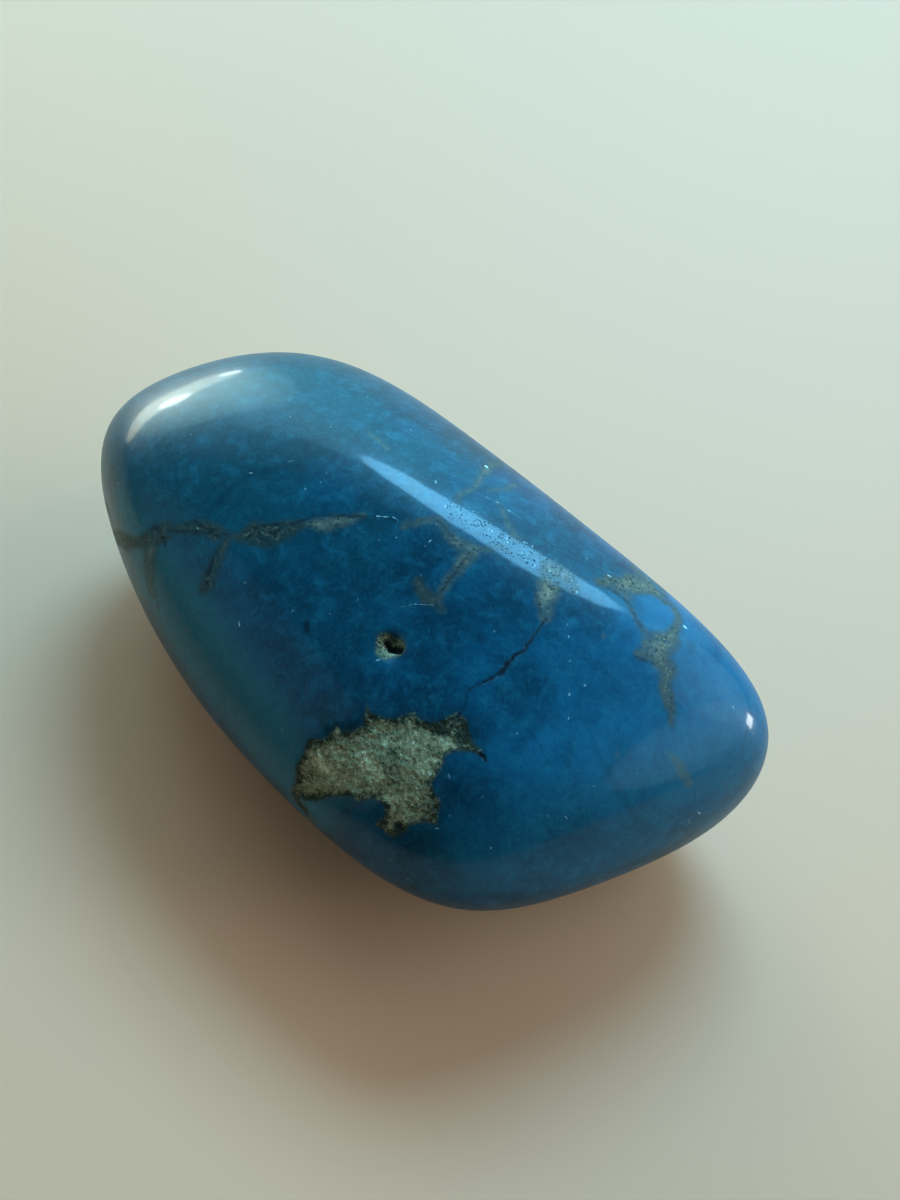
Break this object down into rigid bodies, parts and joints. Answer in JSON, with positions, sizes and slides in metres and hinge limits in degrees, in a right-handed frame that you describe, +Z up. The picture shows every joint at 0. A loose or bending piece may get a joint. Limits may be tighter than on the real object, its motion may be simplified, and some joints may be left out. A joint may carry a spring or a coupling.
{
  "type": "blue howlite",
  "caption": "Tumbled blue howlite stone: a smooth wedge-shaped pebble with grey-green matrix veins, a small pit and a worn flat to rest on.",
  "frame": {"origin": "middle of the bounding box, on the flat that the stone rests on", "axes": "+Z up from the flat it rests on, +X along the stone to its blunt nose, +Y to its steep back"},
  "size_m": [0.0452, 0.0252, 0.0179],
  "materials": {
    "howlite": "tumble-polished, dyed blue, with duller grey-green matrix in its veins and hollows"
  },
  "bodies": {
    "root": {"stone": "howlite"}
  },
  "joints": []
}
